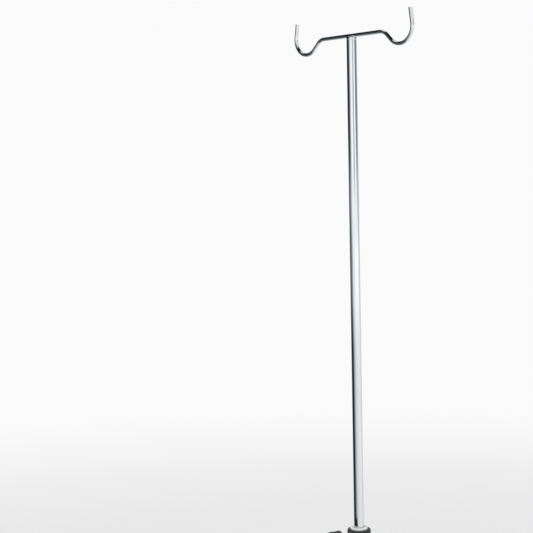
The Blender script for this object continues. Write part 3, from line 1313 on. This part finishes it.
def pedal_field(x, y, z):
    """Distance to a brake pedal about its pin: cam with its lobe, ribbed tread and riveted pin."""
    rise = math.radians(12)
    back, up = -(y * math.cos(rise) - z * math.sin(rise)), y * math.sin(rise) + z * math.cos(rise)
    lobe_angle = math.atan2(WHEEL_Z - PEDAL_PIN_Z, PEDAL_BACK) - math.radians(20)
    pad = plate(x, back, (-14 * MM, 11 * MM), (14 * MM, 31 * MM), 4 * MM)
    neck = plate(x, back, (-10 * MM, -2 * MM), (10 * MM, 25 * MM), 1 * MM)
    tread = slab(smooth_min(pad, neck, 4 * MM), up, 1.2 * MM, 4.2 * MM, 1.1 * MM)
    for k in range(5):
        first, last = (15 + 3 * k - 0.6) * MM, (15 + 3 * k + 0.6) * MM
        rib = plate(x, back, (-11 * MM, first), (11 * MM, last), 0.6 * MM)
        tread = smooth_min(tread, slab(rib, up, 3.5 * MM, 5 * MM, 0.4 * MM), 0.5 * MM)
    cam = slab(disc(y, z, 5 * MM), x, -10 * MM, 10 * MM, 0.8 * MM)
    tip = (5.3 * MM * math.cos(lobe_angle), 5.3 * MM * math.sin(lobe_angle))
    lobe = slab(bar(y, z, (0, 0), tip, 2 * MM), x, -8 * MM, 8 * MM, 0.6 * MM)
    d = smooth_min(smooth_min(cam, lobe, 1.5 * MM), tread, 2 * MM)
    pin = slab(disc(y, z, 2 * MM), x, -13 * MM, 13 * MM, 0.2 * MM)
    heads = slab(disc(y, z, 3.5 * MM), np.abs(x), 12.9 * MM, 13.9 * MM, 0.45 * MM)
    return np.minimum(d, np.minimum(pin, heads))


class DRIP_OT_brakes(bpy.types.Operator):
    """Mould the brake pedals of the two braked castors"""
    bl_idname = "drip.brakes"
    bl_label = "Brakes"

    def execute(self, context):
        low, high = local_box(f"brake_pedal_{BRAKED[0]}", BRAKED[0])
        pin = Vector((0, -TRAIL - PEDAL_BACK, PEDAL_PIN_Z))
        pedal = net("pedal", pedal_field, *around(low - pin, high - pin, 1.5 * MM), 0.6 * MM,
                    Matrix.Translation(pin))
        hand_out(pedal, "brake_pedal", "pedal_moulding", BRAKED)
        return {"FINISHED"}


# ---------- stage ----------

def camera_axes(s):
    """The camera's right, up and forward directions."""
    level = Vector((math.cos(s.azimuth), math.sin(s.azimuth), 0))
    ahead = Vector((-math.sin(s.azimuth), math.cos(s.azimuth), 0))
    plumb = Vector((0, 0, 1))
    forward = ahead * math.cos(s.pitch) + plumb * math.sin(s.pitch)
    lifted = plumb * math.cos(s.pitch) - ahead * math.sin(s.pitch)
    right = level * math.cos(s.roll) - lifted * math.sin(s.roll)
    up = level * math.sin(s.roll) + lifted * math.cos(s.roll)
    return right, up, forward


def place_camera(s):
    right, up, forward = camera_axes(s)
    hanger = Vector((0, 0, hook_height()))
    data = bpy.data.cameras.new("camera")
    data.lens = s.lens
    data.clip_end = 200
    camera = bpy.data.objects.new("camera", data)
    place = Matrix((right, up, -forward)).transposed().to_4x4()
    place.translation = hanger - right * s.aside - forward * s.depth - up * s.above
    camera.matrix_world = place
    bpy.context.scene.collection.objects.link(camera)
    bpy.context.scene.camera = camera


BACKDROP = (0.96, 0.96, 0.96)
MATT_LIGHT = 0.80  # brightness of the even daylight that matt surfaces see
POLISHED_GAIN = 2.0  # the studio's colours are stored divided by this, to stay within a colour's range
RED_LOSS, BLUE_GAIN = 0.12, 0.10  # tint of the studio's full shadow
SWEEP_START, SWEEP_END = 1.2, 7.0  # radii between which the floor turns into the backdrop
FLOOR_RINGS = (0, 1, 6, 40)
LAMP_AIM = Vector((0, 0, 1.0))

# Each lamp's name, bearing from the camera in degrees, distance, height and width in metres, and watts.
LAMPS = (("key_light", -50, 2.6, 3.4, 1.8, 55), ("fill_light", 60, 3.0, 2.4, 2.2, 20),
         ("back_light", 165, 3.0, 3.0, 1.6, 25))

# Brightness of the studio round the stand, by bearing from the camera in degrees, right positive. Polished
# tubes show its soft boxes and dark screens as stripes, so each band of it sets part of the chrome's look.
OVERHEAD = ((-180, 0.85), (-85, 0.80), (-66, 0.02), (138, 0.02), (155, 0.80), (180, 0.85))
CEILING = ((-180, 0.35), (-168, 0.06), (-152, 0.010), (-45, 0.012), (-25, 0.50), (0, 0.90), (60, 1.0),
           (98, 0.80), (118, 0.05), (165, 0.12), (180, 0.35))
ABOVE_EYE = ((-180, 0.75), (-166, 0.50), (-150, 0.08), (-128, 0.03), (-107, 0.02), (-75, 0.09), (-49, 0.82),
             (-25, 1.25), (-2, 1.0), (20, 0.42), (44, 1.45), (69, 0.36), (100, 0.25), (147, 0.57),
             (180, 0.75))
EYE_LEVEL = ((-180, 0.80), (-166, 0.60), (-150, 0.16), (-110, 0.10), (-77, 0.42), (-51, 0.96), (-27, 1.23),
             (-4, 1.18), (18, 1.14), (41, 1.25), (66, 1.08), (96, 0.55), (140, 0.72), (180, 0.80))
BELOW_EYE = ((-180, 0.80), (-166, 0.60), (-150, 0.25), (-125, 0.14), (-95, 0.13), (-66, 0.44), (-41, 0.99),
             (-18, 0.94), (4, 1.22), (76, 1.22), (109, 0.70), (145, 0.64), (180, 0.80))
LOW_SCREENS = ((-180, 0.70), (-155, 0.30), (-125, 0.05), (-100, 0.012), (-80, 0.03), (-62, 0.30), (-30, 0.75),
               (0, 0.95), (60, 1.05), (120, 0.85), (150, 0.75), (180, 0.70))
FLOOR = ((-180, 0.60), (-150, 0.35), (-125, 0.28), (-100, 0.15), (-75, 0.15), (-55, 0.40), (-30, 0.60),
         (0, 0.80), (60, 0.90), (120, 1.0), (150, 0.95), (180, 0.60))

# Each band over the floor's, with the slopes of the view between which it takes over from the one below it.
BANDS = ((LOW_SCREENS, -0.55, -0.30), (BELOW_EYE, -0.14, -0.05), (EYE_LEVEL, -0.03, 0.04),
         (ABOVE_EYE, 0.05, 0.10), (CEILING, 0.24, 0.36), (OVERHEAD, 0.72, 0.86))


def bearing_ramp(tree, bearing, stops):
    """Brightness against bearing, from a list of (degrees, brightness). Its shadows are slightly blue."""
    ramp = add_node(tree, "ShaderNodeValToRGB")
    ramp.color_ramp.interpolation = "EASE"
    while len(ramp.color_ramp.elements) < len(stops):
        ramp.color_ramp.elements.new(0.5)
    for element, (degrees, value) in zip(ramp.color_ramp.elements, stops):
        shade = max(0, 1 - value)
        element.position = degrees / 360 + 0.5
        tint = (1 - RED_LOSS * shade, 1, 1 + BLUE_GAIN * shade)
        element.color = (*(value * t / POLISHED_GAIN for t in tint), 1)
    tree.links.new(bearing, ramp.inputs["Fac"])
    return ramp.outputs["Color"]


def light_world(s):
    """A pale cyclorama to the camera, even daylight to matt surfaces, and soft boxes to polished ones."""
    world = bpy.data.worlds.new("studio")
    bpy.context.scene.world = world
    world.use_nodes = True
    tree = world.node_tree
    tree.nodes.clear()
    ray = add_node(tree, "ShaderNodeTexCoord").outputs["Generated"]
    spin = []
    c, n = math.cos(s.azimuth), math.sin(s.azimuth)
    for axis in ((c, n, 0), (n, -c, 0)):
        dot = add_node(tree, "ShaderNodeVectorMath", operation="DOT_PRODUCT")
        tree.links.new(ray, dot.inputs[0])
        dot.inputs[1].default_value = axis
        spin.append(dot.outputs["Value"])
    bearing = compute(tree, "MULTIPLY_ADD", compute(tree, "ARCTAN2", *spin), 1 / math.tau, 0.5)
    parts = add_node(tree, "ShaderNodeSeparateXYZ")
    tree.links.new(ray, parts.inputs[0])
    height = parts.outputs["Z"]
    room = bearing_ramp(tree, bearing, FLOOR)
    for band, low, high in BANDS:
        above = ramp_between(tree, height, low, high)
        room = blend_colours(tree, above, room, bearing_ramp(tree, bearing, band))
    path = add_node(tree, "ShaderNodeLightPath")
    polished = add_node(tree, "ShaderNodeBackground", Strength=POLISHED_GAIN)
    tree.links.new(room, polished.inputs["Color"])
    daylight = add_node(tree, "ShaderNodeBackground", Strength=MATT_LIGHT * s.daylight)
    backdrop = add_node(tree, "ShaderNodeBackground", Strength=1.0)
    backdrop.inputs["Color"].default_value = (*BACKDROP, 1)
    matt = add_node(tree, "ShaderNodeMixShader")
    tree.links.new(path.outputs["Is Diffuse Ray"], matt.inputs[0])
    tree.links.new(polished.outputs[0], matt.inputs[1])
    tree.links.new(daylight.outputs[0], matt.inputs[2])
    seen = add_node(tree, "ShaderNodeMixShader")
    tree.links.new(path.outputs["Is Camera Ray"], seen.inputs[0])
    tree.links.new(matt.outputs[0], seen.inputs[1])
    tree.links.new(backdrop.outputs[0], seen.inputs[2])
    out = add_node(tree, "ShaderNodeOutputWorld")
    tree.links.new(seen.outputs[0], out.inputs["Surface"])


def sweep_group():
    """0 by the stand and 1 far out on the floor, where a studio's floor sweeps up into its backdrop."""
    tree, start, end = new_tree("floor_sweep", "ShaderNodeTree", [("Vector", "NodeSocketVector", None)],
                                [("Far", "NodeSocketFloat")])
    out = add_node(tree, "ShaderNodeVectorMath", operation="LENGTH")
    tree.links.new(start.outputs["Vector"], out.inputs[0])
    tree.links.new(ramp_between(tree, out.outputs["Value"], SWEEP_START, SWEEP_END), end.inputs[0])
    return tree


def floor_paint():
    """Matt white near the stand, and the backdrop's own brightness far out, so that no horizon shows."""
    paint = Finish("floor_paint")
    far = paint.group(sweep_group())
    near = paint.mix((0.86, 0.86, 0.865), (0.88, 0.88, 0.885), paint.group(variation_group(), Scale=1.5))
    paint.colours(near, (0, 0, 0), far)
    paint.tree.links.new(paint.mix((0, 0, 0), BACKDROP, far), paint.shader.inputs["Emission Color"])
    paint.shader.inputs["Emission Strength"].default_value = 1
    paint.shader.inputs["Roughness"].default_value = 0.9
    paint.shader.inputs["Specular IOR Level"].default_value = 0
    return paint.material


class DRIP_OT_stage(bpy.types.Operator):
    """Lay the floor, light the studio and place the camera"""
    bl_idname = "drip.stage"
    bl_label = "Stage"

    def execute(self, context):
        s = context.scene.drip_stage
        just_under = Matrix.Translation((0, 0, -0.05 * MM))
        floor = turned("floor", [(r, 0) for r in FLOOR_RINGS], just_under, 96)
        floor.data.flip_normals()
        floor.data.materials.append(floor_paint())
        floor.visible_glossy = False
        light_world(s)
        for name, bearing, distance, height, width, power in LAMPS:
            data = bpy.data.lights.new(name, "AREA")
            data.energy = power
            data.size = width
            lamp = bpy.data.objects.new(name, data)
            a = s.azimuth - math.pi / 2 + math.radians(bearing)
            at = Vector((distance * math.cos(a), distance * math.sin(a), height))
            turn = (LAMP_AIM - at).to_track_quat("-Z", "Y")
            lamp.matrix_world = Matrix.Translation(at) @ turn.to_matrix().to_4x4()
            lamp.visible_glossy = False
            context.scene.collection.objects.link(lamp)
        place_camera(s)
        context.scene.view_settings.view_transform = "Standard"
        return {"FINISHED"}


# ---------- the add-on ----------

class DRIP_PT_panel(bpy.types.Panel):
    """Lists the steps that build the stand, with the settings that they read"""
    bl_idname = "DRIP_PT_panel"
    bl_label = "Drip Stand"
    bl_space_type = "VIEW_3D"
    bl_region_type = "UI"
    bl_category = "Drip Stand"

    def draw(self, context):
        for step in STEPS:
            self.layout.operator(step.bl_idname)
        for group in ("drip_hanger", "drip_colours", "drip_stage"):
            settings = getattr(context.scene, group)
            box = self.layout.box()
            for name in settings.bl_rna.properties.keys():
                if name not in ("rna_type", "name"):
                    box.prop(settings, name)


STEPS = (DRIP_OT_hanger, DRIP_OT_mast, DRIP_OT_clamp, DRIP_OT_hub, DRIP_OT_legs, DRIP_OT_castors,
         DRIP_OT_brakes, DRIP_OT_stage)
CLASSES = (HangerSettings, StandColours, StageSettings, *STEPS, DRIP_PT_panel)


def register():
    for cls in CLASSES:
        bpy.utils.register_class(cls)
    bpy.types.Scene.drip_hanger = bpy.props.PointerProperty(type=HangerSettings)
    bpy.types.Scene.drip_colours = bpy.props.PointerProperty(type=StandColours)
    bpy.types.Scene.drip_stage = bpy.props.PointerProperty(type=StageSettings)


def unregister():
    del bpy.types.Scene.drip_stage
    del bpy.types.Scene.drip_colours
    del bpy.types.Scene.drip_hanger
    for cls in reversed(CLASSES):
        bpy.utils.unregister_class(cls)


def main():
    register()
    bpy.ops.drip.hanger()
    bpy.ops.drip.mast()
    bpy.ops.drip.clamp()
    bpy.ops.drip.hub()
    bpy.ops.drip.legs()
    bpy.ops.drip.castors()
    bpy.ops.drip.brakes()
    bpy.ops.drip.stage()


if __name__ == "__main__":
    main()
